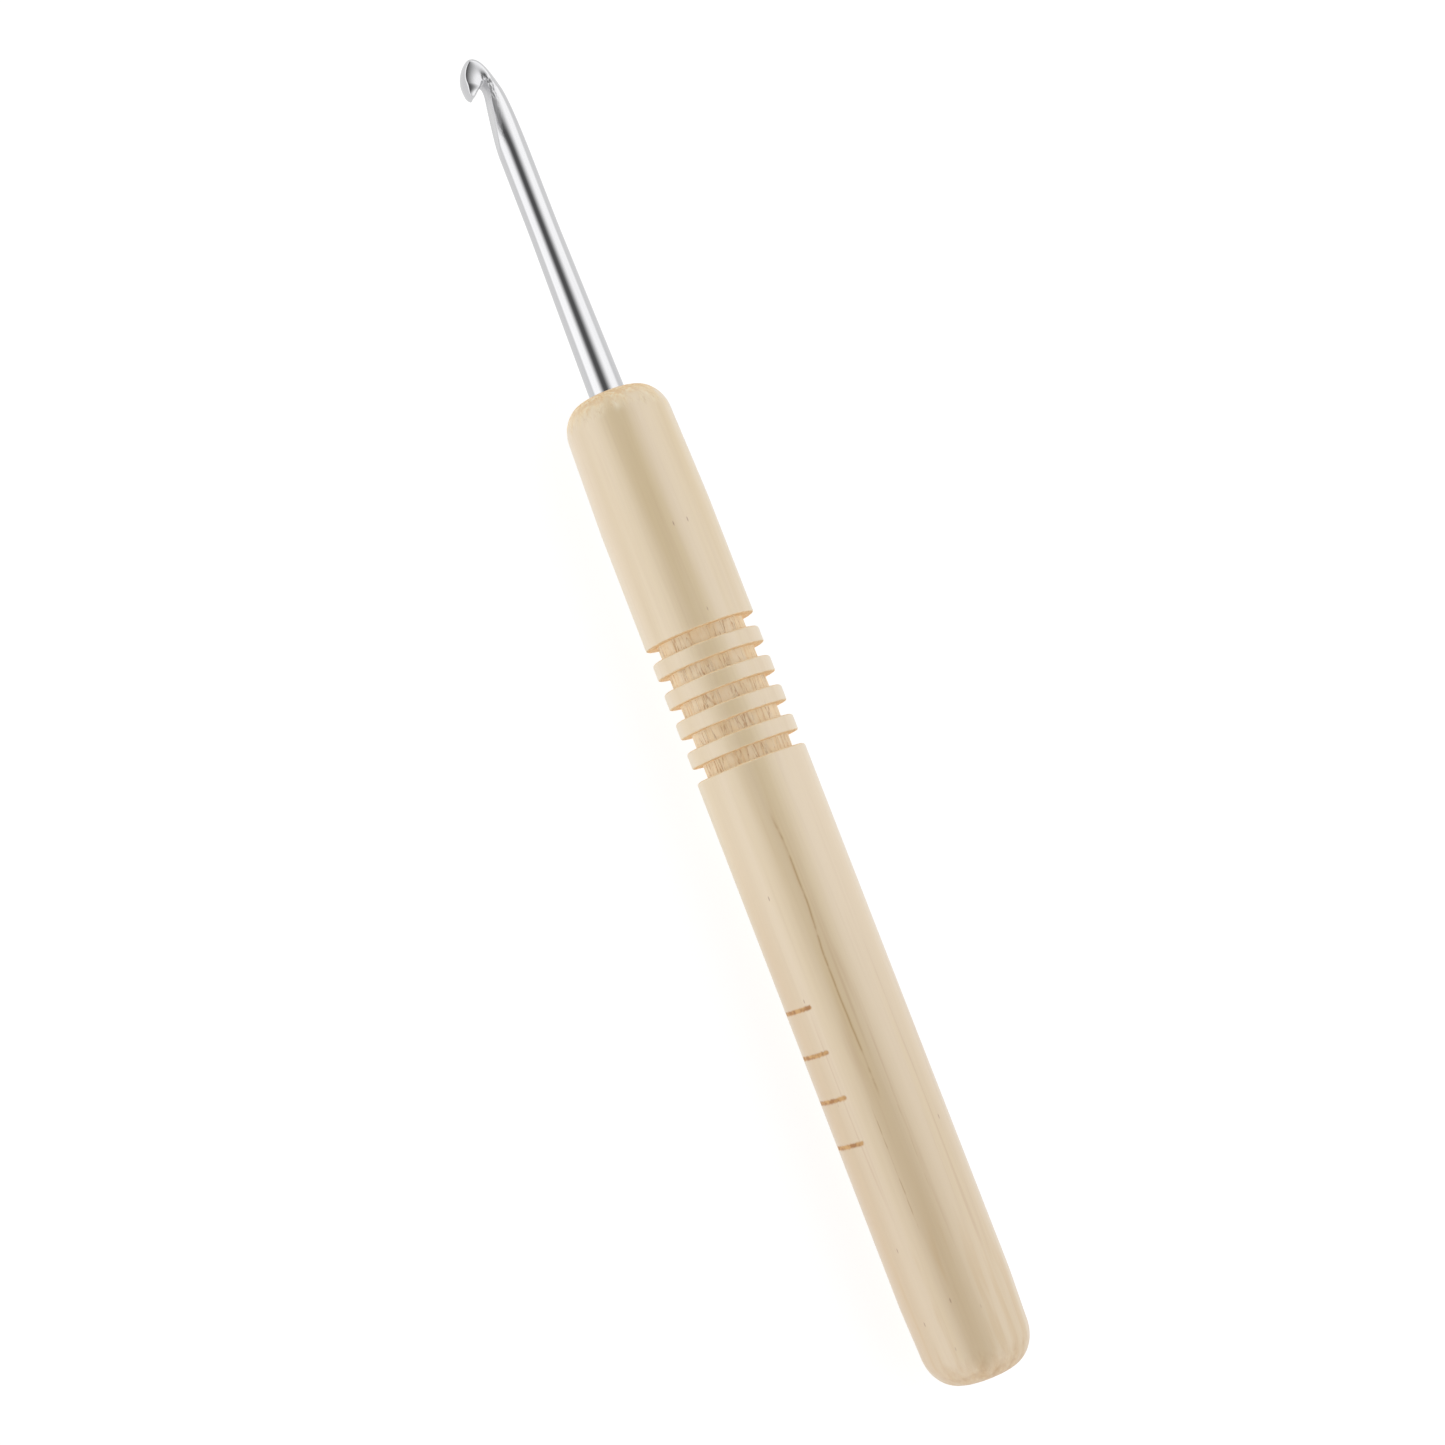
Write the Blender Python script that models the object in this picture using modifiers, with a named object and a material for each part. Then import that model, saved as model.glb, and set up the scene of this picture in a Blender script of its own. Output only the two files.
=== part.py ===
"""A crochet hook: a pressed metal hook glued into a turned wooden handle.

Metres, +Z up. The hook lies on its handle with its long axis along X. The tip of the hook
points to -X, the butt of the handle to +X, and the lip of the hook to -Y. The origin is on
the surface that the handle lies on, below the middle of the overall length.
"""
import bmesh
import bpy
from math import cos, pi, sin, sqrt, tan
from mathutils import Vector
from mathutils.geometry import interpolate_bezier

# Overall sizes
HANDLE_LENGTH = 0.1112
HANDLE_DIAMETER = 0.0123
EXPOSED_LENGTH = 0.0399         # metal in front of the handle, tip included

# Metal hook
SHANK_DIAMETER = 0.0040         # where it enters the handle, and the size of the hook
WORKING_DIAMETER = 0.00338      # of the straight stretch behind the neck
WORKING_END = 0.0204            # from the tip to where the taper begins
TANG_LENGTH = 0.0300            # inside the handle
TANG_CHAMFER = 0.0004
NECK_LENGTH = 0.0119            # from the tip to where the neck meets the round shank
NECK_THICKNESS = 0.0031
HEAD_THICKNESS = 0.0030
NECK_CROWN_RADIUS = 0.0021      # of the pressed sides across the neck
HEAD_CROWN_RADIUS = 0.0057
HEAD_BACK_OFFSET = 0.00130      # of the back where the head begins, from the axis
TIP_OFFSET = 0.0011             # from the axis towards the lip
TIP_TO_THROAT = 0.00300
THROAT_OFFSET = 0.00066         # of the throat's end, from the axis
NECK_FLOOR_OFFSET = 0.00043     # lowest point of the neck's cut floor, from the axis
TIP_TO_LIP_END = 0.00422
LIP_REACH = 0.00285             # outermost point of the lip, from the axis
LIP_EDGE = 0.00026              # width of the lip's end
LIP_END_THICKNESS = 0.0017
LIP_FRONT_RADIUS = 0.0035       # across the lip's front
EDGE_ROUNDING = 0.00012
HEAD_MIDDLE = 0.45              # where a head section's middle lies, from throat to outside

# Turned handle
FRONT_FACE_DIAMETER = 0.0064
SHOULDER_LENGTH = 0.0034
SHOULDER_INSET = 0.00029        # below the full radius, where the rounded shoulder ends
SHOULDER_FULLNESS = 1.8
NOSE_LENGTH = 0.0140            # from the front face to the full diameter
BUTT_FACE_DIAMETER = 0.0047
BUTT_ROUNDING_LENGTH = 0.0042
BUTT_INSET = 0.00020            # below the full radius, where the butt's rounding begins
BUTT_FULLNESS = 2.1
BUTT_TAPER_LENGTH = 0.0095      # from the butt face to the full diameter
RING_COUNT = 4
RING_WIDTH = 0.00180
RING_INSET = 0.0001             # of the rings below the full radius
GROOVE_WIDTH = 0.00157
GROOVE_DEPTH = 0.001325         # from the full radius
FRONT_GRIP_LENGTH = 0.0274      # from the front face to the first groove
RING_CHAMFER = 0.00015
DRILL_POINT_ANGLE = 118 * pi / 180

# Fits
BORE_CLEARANCE = 0.0001         # between the tang and the bore, on the radius
GLUE_DEPTH = 0.0012             # straight length of the glue behind the tang
END_GAP = 0.0003                # between the glue and what it meets

# Facets
HANDLE_FACETS = 48
ROUNDING_STEPS = 8
TANG_FACETS = 32
NECK_SECTIONS = 14
HEAD_SECTIONS = 10

OVERALL_LENGTH = HANDLE_LENGTH + EXPOSED_LENGTH
HANDLE_RADIUS = HANDLE_DIAMETER / 2
AXIS_HEIGHT = HANDLE_RADIUS * cos(pi / HANDLE_FACETS)
BORE_RADIUS = SHANK_DIAMETER / 2 + BORE_CLEARANCE
BORE_DEPTH = TANG_LENGTH + GLUE_DEPTH + 2 * END_GAP
DRILL_POINT_DEPTH = BORE_RADIUS / tan(DRILL_POINT_ANGLE / 2)


def clear_scene():
    for obj in list(bpy.data.objects):
        bpy.data.objects.remove(obj, do_unlink=True)


def new_collection(name):
    collection = bpy.data.collections.new(name)
    bpy.context.scene.collection.children.link(collection)
    return collection


def make_material(name, colour, roughness, metallic):
    material = bpy.data.materials.new(name)
    material.use_nodes = True
    shader = material.node_tree.nodes["Principled BSDF"]
    shader.inputs["Base Color"].default_value = (*colour, 1)
    shader.inputs["Roughness"].default_value = roughness
    shader.inputs["Metallic"].default_value = metallic
    return material


def add_object(name, mesh, material, parent, collection):
    mesh.materials.append(material)
    obj = bpy.data.objects.new(name, mesh)
    obj.parent = parent
    collection.objects.link(obj)
    return obj


def shade_round(mesh):
    mesh.shade_smooth()
    mesh.set_sharp_from_angle(angle=pi / 6)


# Turned pieces ---------------------------------------------------------------------------

def rounded_end(face_radius, end_radius, length, fullness):
    """Points (radius, depth) of a rounded end, from its full radius to its flat face.

    A fullness of 2 gives a quarter of an ellipse, and 1 a plain chamfer.
    """
    points = []
    for step in range(ROUNDING_STEPS + 1):
        angle = pi / 2 * step / ROUNDING_STEPS
        out = abs(cos(angle)) ** (2 / fullness)
        along = sin(angle) ** (2 / fullness)
        points.append((face_radius + (end_radius - face_radius) * out, length * (1 - along)))
    return points


def ring_band():
    """Points (radius, distance from the front face) of the grooves, from the butt side."""
    pitch = RING_WIDTH + GROOVE_WIDTH
    band_length = RING_COUNT * pitch + GROOVE_WIDTH
    band_end = FRONT_GRIP_LENGTH + band_length
    groove_radius = HANDLE_RADIUS - GROOVE_DEPTH
    ring_radius = HANDLE_RADIUS - RING_INSET
    points = [(HANDLE_RADIUS, band_end + RING_CHAMFER), (HANDLE_RADIUS - RING_CHAMFER, band_end)]
    for ring in range(RING_COUNT):
        ring_end = band_end - GROOVE_WIDTH - ring * pitch
        ring_start = ring_end - RING_WIDTH
        points.append((groove_radius, ring_end + GROOVE_WIDTH))
        points.append((groove_radius, ring_end))
        points.append((ring_radius - RING_CHAMFER, ring_end))
        points.append((ring_radius, ring_end - RING_CHAMFER))
        points.append((ring_radius, ring_start + RING_CHAMFER))
        points.append((ring_radius - RING_CHAMFER, ring_start))
    points.append((groove_radius, FRONT_GRIP_LENGTH + GROOVE_WIDTH))
    points.append((groove_radius, FRONT_GRIP_LENGTH))
    points.append((HANDLE_RADIUS - RING_CHAMFER, FRONT_GRIP_LENGTH))
    points.append((HANDLE_RADIUS, FRONT_GRIP_LENGTH - RING_CHAMFER))
    return points


def handle_profile():
    """The handle's outline from the middle of the butt, along the outside, into the bore."""
    butt = rounded_end(BUTT_FACE_DIAMETER / 2, HANDLE_RADIUS - BUTT_INSET,
                       BUTT_ROUNDING_LENGTH, BUTT_FULLNESS)
    front = rounded_end(FRONT_FACE_DIAMETER / 2, HANDLE_RADIUS - SHOULDER_INSET,
                        SHOULDER_LENGTH, SHOULDER_FULLNESS)
    points = [(0, HANDLE_LENGTH)]
    points += [(radius, HANDLE_LENGTH - depth) for radius, depth in reversed(butt)]
    points.append((HANDLE_RADIUS, HANDLE_LENGTH - BUTT_TAPER_LENGTH))
    points += ring_band()
    points.append((HANDLE_RADIUS, NOSE_LENGTH))
    points += front
    points.append((BORE_RADIUS, 0))
    points.append((BORE_RADIUS, BORE_DEPTH))
    points.append((0, BORE_DEPTH + DRILL_POINT_DEPTH))
    return points


def turned_mesh(name, profile):
    """A mesh of the profile's (radius, z) points in the XZ plane, ready for a Screw."""
    mesh = bpy.data.meshes.new(name)
    vertices = [(radius, 0, z) for radius, z in profile]
    edges = [(index, index + 1) for index in range(len(profile) - 1)]
    mesh.from_pydata(vertices, edges, [])
    return mesh


def turn(obj, facets):
    screw = obj.modifiers.new("turned", "SCREW")
    screw.steps = facets
    screw.render_steps = facets
    screw.use_merge_vertices = True
    screw.merge_threshold = 0.00001
    screw.use_smooth_shade = False
    obj.rotation_euler.z = pi / facets


def make_handle(axis, collection):
    wood = make_material("varnished_wood", (0.72, 0.58, 0.40), 0.38, 0)
    mesh = turned_mesh("handle", handle_profile())
    handle = add_object("handle", mesh, wood, axis, collection)
    handle.location.z = EXPOSED_LENGTH
    turn(handle, HANDLE_FACETS)


def make_adhesive(axis, collection):
    """The glue fills the bore's blind end behind the tang, drill point included."""
    glue = make_material("cured_glue", (0.80, 0.72, 0.50), 0.5, 0)
    radius = BORE_RADIUS - BORE_CLEARANCE
    profile = [
        (0, GLUE_DEPTH + radius / tan(DRILL_POINT_ANGLE / 2)),
        (radius, GLUE_DEPTH),
        (radius, 0),
        (0, 0),
    ]
    adhesive = add_object("adhesive", turned_mesh("adhesive", profile), glue, axis, collection)
    adhesive.location.z = EXPOSED_LENGTH + TANG_LENGTH + END_GAP
    turn(adhesive, TANG_FACETS)


# The metal hook --------------------------------------------------------------------------
# It is a loft. Each section lies across the metal, between a point on the throat's side and
# a point on the back. Outline points are (distance from the tip, offset towards the lip).

def handle_of(point, along, towards_lip):
    """The handle of a curve: one of its outline points, moved."""
    return (point[0] + along, point[1] + towards_lip)


def neck_and_throat():
    """Four joined cubic curves: the neck's floor, two round the throat, and under the lip."""
    floor_start = (NECK_LENGTH, WORKING_DIAMETER / 2 + EDGE_ROUNDING)
    floor_end = (TIP_TO_THROAT + 0.0010, NECK_FLOOR_OFFSET)
    throat = (TIP_TO_THROAT, THROAT_OFFSET)
    under_lip = (TIP_TO_THROAT + 0.0004, THROAT_OFFSET + 0.00054)
    lip_end = (TIP_TO_LIP_END, lip_end_offset() - LIP_EDGE / 2)
    third_of_floor = (floor_start[0] - floor_end[0]) / 3
    third_of_drop = (floor_start[1] - floor_end[1]) / 3
    return [
        floor_start,
        handle_of(floor_start, -third_of_floor, -third_of_drop),
        handle_of(floor_end, third_of_floor, third_of_drop),
        floor_end,
        handle_of(floor_end, -0.0004, -0.00006),
        handle_of(throat, 0, -0.00016),
        throat,
        handle_of(throat, 0, 0.00019),
        handle_of(under_lip, -0.0002, -0.0002),
        under_lip,
        handle_of(under_lip, 0.0003, 0.0003),
        handle_of(lip_end, -0.0003, -0.0003),
        lip_end,
    ]


def back_and_lip():
    """Four joined cubic curves: the back, up to the tip, down the lip's front, to its end."""
    back_start = (NECK_LENGTH, -WORKING_DIAMETER / 2)
    head_start = (TIP_TO_LIP_END, -HEAD_BACK_OFFSET)
    tip = (0, TIP_OFFSET)
    lip_front = (TIP_TO_LIP_END - 0.0016, LIP_REACH)
    lip_end = (TIP_TO_LIP_END, lip_end_offset() + LIP_EDGE / 2)
    return [
        back_start,
        handle_of(back_start, -0.0029, 0),
        handle_of(head_start, 0.0014, -0.00028),
        head_start,
        handle_of(head_start, -0.0015, 0.00036),
        handle_of(tip, 0, -0.00135),
        tip,
        handle_of(tip, 0, 0.00055),
        handle_of(lip_front, -0.0013, 0),
        lip_front,
        handle_of(lip_front, 0.0007, 0),
        handle_of(lip_end, -0.00015, 0.00033),
        lip_end,
    ]


def lip_end_offset():
    return LIP_REACH - 0.00056


def points_along(chain, steps):
    """Points along joined cubic curves, the chain's first point left out."""
    points = []
    for start in range(0, len(chain) - 1, 3):
        corners = [Vector((*point, 0)) for point in chain[start:start + 4]]
        points += interpolate_bezier(*corners, steps[start // 3] + 1)[1:]
    return points


def smooth_step(start, end, value):
    share = min(max((value - start) / (end - start), 0), 1)
    return share * share * (3 - 2 * share)


def mix(a, b, share):
    return a + (b - a) * share


def smooth_min(a, b):
    """The lower of two lengths, rounded where they come close to each other."""
    overlap = max(EDGE_ROUNDING - abs(a - b), 0) / EDGE_ROUNDING
    return min(a, b) - overlap * overlap * EDGE_ROUNDING / 4


def circle_reach(centre, radius, along, across):
    """How far a circle reaches from the origin, when its centre lies on the first axis."""
    return centre * along + sqrt(max(radius * radius - (centre * across) ** 2, 0))


def section(floor, back, half_thickness, bar_radius, back_radius, crown_radius):
    """Points (u, q) round a bar that is pressed on two sides and cut flat on a third.

    u runs to the back and q across the thickness. The floor and the back are how far the
    metal reaches from the section's origin along -u and +u.
    """
    points = []
    for facet in range(TANG_FACETS):
        angle = 2 * pi * facet / TANG_FACETS
        reach_along_u = back if cos(angle) > 0 else floor
        direction = Vector((reach_along_u * cos(angle), half_thickness * sin(angle)))
        u, q = direction.normalized()
        if u < 0:
            outside = smooth_min(bar_radius, floor / -u)
        else:
            outside = circle_reach(back - back_radius, back_radius, u, q)
        pressed = circle_reach(half_thickness - crown_radius, crown_radius, abs(q), u)
        reach = smooth_min(outside, pressed)
        points.append((reach * u, reach * q))
    return points


def round_section(distance, radius):
    """The points of a round section, in the frame of the hook's axis."""
    angles = [2 * pi * facet / TANG_FACETS for facet in range(TANG_FACETS)]
    return [Vector((-radius * sin(angle), radius * cos(angle), distance)) for angle in angles]


def pressed_sections():
    """The neck and the head, from the round shank to the end of the lip."""
    steps = (NECK_SECTIONS, HEAD_SECTIONS, HEAD_SECTIONS, HEAD_SECTIONS // 2)
    inner_points = points_along(neck_and_throat(), steps)
    outer_points = points_along(back_and_lip(), steps)
    bar_radius = WORKING_DIAMETER / 2
    sections = []
    for index, (inner, outer) in enumerate(zip(inner_points, outer_points)):
        neck = smooth_step(0, NECK_SECTIONS / 2, index + 1)
        head = smooth_step(NECK_SECTIONS / 2, NECK_SECTIONS + HEAD_SECTIONS / 2, index)
        lip = smooth_step(NECK_SECTIONS + HEAD_SECTIONS / 2, len(inner_points), index)
        across = outer - inner
        origin_share = mix(inner.y / across.length, HEAD_MIDDLE, head)
        origin = inner + across * origin_share
        end = smooth_step(len(inner_points) - HEAD_SECTIONS / 2, len(inner_points), index + 1)
        thickness = mix(WORKING_DIAMETER + 2 * EDGE_ROUNDING, NECK_THICKNESS, neck)
        thickness = mix(thickness, HEAD_THICKNESS, head)
        thickness = mix(thickness, LIP_END_THICKNESS, end)
        outline = section(
            floor=across.length * origin_share,
            back=across.length * (1 - origin_share),
            half_thickness=thickness / 2,
            bar_radius=mix(bar_radius, 2 * bar_radius, head),
            back_radius=mix(bar_radius, LIP_FRONT_RADIUS, lip),
            crown_radius=mix(NECK_CROWN_RADIUS, HEAD_CROWN_RADIUS, head),
        )
        u_axis = across.normalized()
        points = [origin + u_axis * u for u, _ in outline]
        sections.append([
            Vector((-q, -point.y, point.x)) for point, (_, q) in zip(points, outline)
        ])
    return sections


def shank_sections():
    """The round stretch, from the end of the tang to the neck."""
    radius = SHANK_DIAMETER / 2
    tang_end = EXPOSED_LENGTH + TANG_LENGTH
    return [
        round_section(tang_end, radius - TANG_CHAMFER),
        round_section(tang_end - TANG_CHAMFER, radius),
        round_section(EXPOSED_LENGTH, radius),
        round_section(WORKING_END, WORKING_DIAMETER / 2),
        round_section(NECK_LENGTH, WORKING_DIAMETER / 2),
    ]


def loft(name, sections):
    """A closed mesh through sections that all have the same number of points."""
    shape = bmesh.new()
    rings = [[shape.verts.new(point) for point in points] for points in sections]
    for ring, following in zip(rings, rings[1:]):
        for index in range(len(ring)):
            after = (index + 1) % len(ring)
            shape.faces.new((ring[index], ring[after], following[after], following[index]))
    shape.faces.new(rings[0])
    shape.faces.new(rings[-1])
    bmesh.ops.recalc_face_normals(shape, faces=shape.faces)
    mesh = bpy.data.meshes.new(name)
    shape.to_mesh(mesh)
    shape.free()
    return mesh


def make_hook_shank(axis, collection):
    metal = make_material("polished_metal", (0.78, 0.78, 0.79), 0.15, 1)
    mesh = loft("hook_shank", shank_sections() + pressed_sections())
    shade_round(mesh)
    add_object("hook_shank", mesh, metal, axis, collection)


def make_axis(collection):
    """An empty at the tip. Its Z runs along the hook to the butt, and its -Y to the lip."""
    axis = bpy.data.objects.new("hook_axis", None)
    axis.location = (-OVERALL_LENGTH / 2, 0, AXIS_HEIGHT)
    axis.rotation_euler.y = pi / 2
    collection.objects.link(axis)
    return axis


def main():
    clear_scene()
    collection = new_collection("crochet_hook")
    axis = make_axis(collection)
    make_hook_shank(axis, collection)
    make_handle(axis, collection)
    make_adhesive(axis, collection)


main()
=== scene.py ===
"""The looks of a crochet hook: a polished, pressed metal hook in a turned wooden handle.

Metres, +Z up. The hook's axis runs along X, with the tip at -X and the lip facing -Y.
"""

from math import cos, hypot, pi, radians, sin, sqrt

import bpy
import numpy as np
from mathutils import Matrix, Vector, noise
from mathutils.geometry import interpolate_bezier


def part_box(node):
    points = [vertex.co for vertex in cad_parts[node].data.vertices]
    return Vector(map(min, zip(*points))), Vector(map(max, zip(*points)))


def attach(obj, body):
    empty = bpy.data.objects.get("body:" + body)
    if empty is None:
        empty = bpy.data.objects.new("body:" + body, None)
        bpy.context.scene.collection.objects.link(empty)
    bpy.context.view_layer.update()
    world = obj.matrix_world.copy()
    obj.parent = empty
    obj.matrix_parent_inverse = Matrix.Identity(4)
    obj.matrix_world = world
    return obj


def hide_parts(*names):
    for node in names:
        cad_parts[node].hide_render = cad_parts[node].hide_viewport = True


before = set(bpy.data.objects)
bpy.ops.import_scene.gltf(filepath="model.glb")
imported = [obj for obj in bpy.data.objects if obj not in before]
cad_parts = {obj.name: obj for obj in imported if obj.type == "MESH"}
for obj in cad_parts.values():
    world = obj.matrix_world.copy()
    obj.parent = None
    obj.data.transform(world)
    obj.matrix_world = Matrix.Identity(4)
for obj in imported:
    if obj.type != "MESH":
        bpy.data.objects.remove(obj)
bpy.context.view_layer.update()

# Places, from the frame -------------------------------------------------------------------
SHANK_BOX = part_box("hook_shank")
HANDLE_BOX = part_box("handle")
TIP_X = SHANK_BOX[0].x
FRONT_X = HANDLE_BOX[0].x
AXIS_Z = (HANDLE_BOX[0].z + HANDLE_BOX[1].z) / 2
HANDLE_LENGTH = HANDLE_BOX[1].x - FRONT_X
EXPOSED_LENGTH = FRONT_X - TIP_X
TANG_LENGTH = SHANK_BOX[1].x - FRONT_X

# Metal hook, as in the model ---------------------------------------------------------------
SHANK_DIAMETER = 0.0040
WORKING_DIAMETER = 0.00338
WORKING_END = 0.0204            # from the tip to where the taper begins
TANG_CHAMFER = 0.0004
NECK_LENGTH = 0.0119
NECK_THICKNESS = 0.0031
HEAD_THICKNESS = 0.0030
NECK_CROWN_RADIUS = 0.0021
HEAD_BACK_OFFSET = 0.00130
TIP_OFFSET = 0.0011
TIP_TO_THROAT = 0.00300
THROAT_OFFSET = 0.00066
NECK_FLOOR_OFFSET = 0.00043
TIP_TO_LIP_END = 0.00422
LIP_REACH = 0.00285
LIP_EDGE = 0.00026
LIP_END_THICKNESS = 0.0017
LIP_FRONT_RADIUS = 0.0035
EDGE_ROUNDING = 0.00012
HEAD_MIDDLE = 0.45
NECK_SECTIONS = 14
HEAD_SECTIONS = 10

# Fine shape of the metal hook --------------------------------------------------------------
FINER = 6                       # fine sections for each one of the model's
METAL_FACETS = 192
SHANK_STEPS = 60
CAP_STEPS = 6                   # round the lip's end
TAPER_EASE = 0.0020             # over which the taper begins
HEAD_CROWN_RADIUS = 0.0030
STREAK_WIDTH = 0.0010           # of the rough strip along the neck's edge
STREAK_DEPTH = 0.00001          # of the marks in that strip
CUT_DEPTH = 0.000016            # of the marks on the throat's flat cut
APEX_DEPTH = 0.00005            # of the press marks at the throat's apex
COARSE_MARKS = (2600, 3400)     # per metre, along the hook and across it
FINE_MARKS = (6000, 7000)
# Marks fade in between two distances from the tip, or two of the model's sections.
STREAK_STRETCH = (0.0112, 0.0080)
STREAK_SECTIONS = (28, 22)
CUT_STRETCH = (0.0075, 0.0040)
APEX_STRETCH = (0.0062, 0.0044)

# Turned handle, as in the model ------------------------------------------------------------
HANDLE_RADIUS = 0.0123 / 2
FRONT_FACE_RADIUS = 0.0064 / 2
SHOULDER_LENGTH = 0.0034
SHOULDER_RADIUS = 0.01172 / 2
SHOULDER_FULLNESS = 1.8
NOSE_LENGTH = 0.0140
BUTT_FACE_RADIUS = 0.0047 / 2
BUTT_ROUNDING_LENGTH = 0.0042
BUTT_RADIUS = 0.01190 / 2
BUTT_FULLNESS = 2.1
BUTT_TAPER_LENGTH = 0.0095
RING_COUNT = 4
RING_WIDTH = 0.00180
RING_RADIUS = 0.0121 / 2
GROOVE_WIDTH = 0.00157
GROOVE_RADIUS = 0.00965 / 2
FRONT_GRIP_LENGTH = 0.0274
BORE_RADIUS = 0.0021
BORE_DEPTH = 0.0318

# Fine shape of the handle ------------------------------------------------------------------
MOUTH_RADIUS = 0.00202          # the wood closes on the shank at the bore's mouth
MOUTH_DEPTH = 0.0005
CURVE_STEPS = 36                # round the shoulder and round the butt
CORNER_STEPS = 6
PLAIN_FACETS = 200              # round the handle, past the mark
SMOOTH_POINTS = 7               # of the outline, at the bore's blind end
UPPER_EDGE_ROUNDING = 0.00030   # of a ring's edge towards the tip
LOWER_EDGE_ROUNDING = 0.00016   # of a ring's edge towards the butt
GROOVE_FILLET = 0.00010
FINE_STEP = 0.00010             # between the outline's points, at the grooves
FINE_MARGIN = 0.0005            # of finer mesh before and after the grooves
MARK_STEP = 0.000075
PLAIN_STEP = 0.0008
FIBRE_DEPTH = 0.000035          # of the torn fibres
FIBRES = (500, 24)              # noise scale, per metre along the handle and round it
COARSE_FIBRES = (1400, 9)
PATCHES = (900, 7)
BARE_SHOULDER = 0.0021          # length of the wood that is bare of varnish
BARE_BUTT = 0.0032

# Burned mark: plain bars, one for each millimetre of the shank's diameter ------------------
BAR_COUNT = round(SHANK_DIAMETER * 1000)
BAR_SPACING = 0.0050
BAR_HEIGHT = 0.0050             # round the handle
BAR_HALF_WIDTH = 0.00024
MARK_START_X = 0.0330
MARK_MIDDLE = radians(-76)      # round the axis from the top, towards +Y
MARK_MARGIN = 0.0016            # of finer mesh all round the mark
BURN_DEPTH = 0.00006
BURN_BLUR = 0.00018             # over which a bar fades into the wood
RAGGEDNESS = 0.00007            # of a bar's edges
RAGGED_SCALE = 3500             # per metre

# Growth rings and grain lines --------------------------------------------------------------
PITH_Y = 0.021                  # the middle of the tree, which lies beside the handle
PITH_Z = -0.013
GROWTH_STEP = 0.0013            # from one ring to the next
GROWTH_SWING = 0.0005
LINE_FADE = 0.003               # at both ends of a dark line of grain

# Camera and light --------------------------------------------------------------------------
CAMERA_LENS = 65.52             # millimetres
SENSOR_WIDTH = 36
CAMERA_DISTANCE = 0.2808
CAMERA_LEAN = radians(17.4)     # from straight above, towards the lip's side
CAMERA_TILT = radians(4.0)      # from square to the axis, towards the butt
CAMERA_ROLL = radians(21.187)
AIM_X = 0.00165
AIM_OFFSET = 0.00124            # from the axis, towards the lip's side
LIGHT_RADIANCE = 1.35           # of the brightest light
LIGHT_STOPS = [                 # angle from the top towards +Y, and share of that radiance
    (-180, 0.62),
    (-106, 0.62),
    (-92, 1.00),
    (-63, 1.00),
    (-24, 0.08),
    (-12, 0.08),
    (36, 0.94),
    (62, 0.94),
    (82, 0.62),
    (180, 0.62),
]
TENT_RADIUS = 2.0               # of the floor, and of the white dome over it
TENT_FACETS = 96
TENT_ANGLE_STEP = 6             # degrees
FLOOR_GLOW = 0.82
FLOOR_GREY = 0.30


def smooth_step(start, end, value):
    """Rises smoothly from 0 to 1 between two values."""
    share = min(max((value - start) / (end - start), 0), 1)
    return share * share * (3 - 2 * share)


def smooth_steps(start, end, values):
    """The same for an array."""
    share = np.clip((values - start) / (end - start), 0, 1)
    return share * share * (3 - 2 * share)


def mix(a, b, share):
    return a + (b - a) * share


def from_srgb(red, green, blue):
    """A linear colour with alpha, from the usual 0 to 255 numbers."""
    linear = []
    for value in (red / 255, green / 255, blue / 255):
        linear.append(value / 12.92 if value <= 0.04045 else ((value + 0.055) / 1.055) ** 2.4)
    return (*linear, 1)


# Colours ----------------------------------------------------------------------------------
CREAM = from_srgb(240, 218, 185)
WARM_CREAM = from_srgb(236, 213, 170)
REAR_CREAM = from_srgb(227, 202, 166)
# Painted shade: darker, warmer wood for the lip's side of the rear grip.
LIP_SIDE_SHADE = from_srgb(214, 180, 136)
STRAW = from_srgb(228, 202, 152)
GOLDEN = from_srgb(216, 180, 122)
FINE_GRAIN = from_srgb(206, 176, 134)
GROWTH_LINE = from_srgb(196, 152, 104)
PORE = from_srgb(170, 122, 88)
DARK_LINE = from_srgb(190, 150, 88)
TORN = from_srgb(253, 240, 214)
WARM_TORN = from_srgb(250, 232, 198)
FLECK = from_srgb(224, 184, 128)
PALE_FLECK = from_srgb(253, 242, 222)
FIBRE = from_srgb(184, 128, 58)
CROSS_CUT = from_srgb(253, 238, 208)
WARM_CROSS_CUT = from_srgb(246, 214, 166)
DARK_CROSS_CUT = from_srgb(226, 178, 120)
CROSS_CUT_RING = from_srgb(226, 184, 134)
BUTT = from_srgb(214, 178, 132)
BUTT_RING = from_srgb(196, 154, 104)
BURNED = from_srgb(176, 118, 62)
SINGED = from_srgb(216, 168, 106)
GLUE = from_srgb(226, 206, 150)
PALE_GLUE = from_srgb(238, 224, 184)
METAL = (0.72, 0.72, 0.73, 1)
DULL_METAL = (0.67, 0.67, 0.685, 1)


# Meshes -----------------------------------------------------------------------------------

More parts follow.
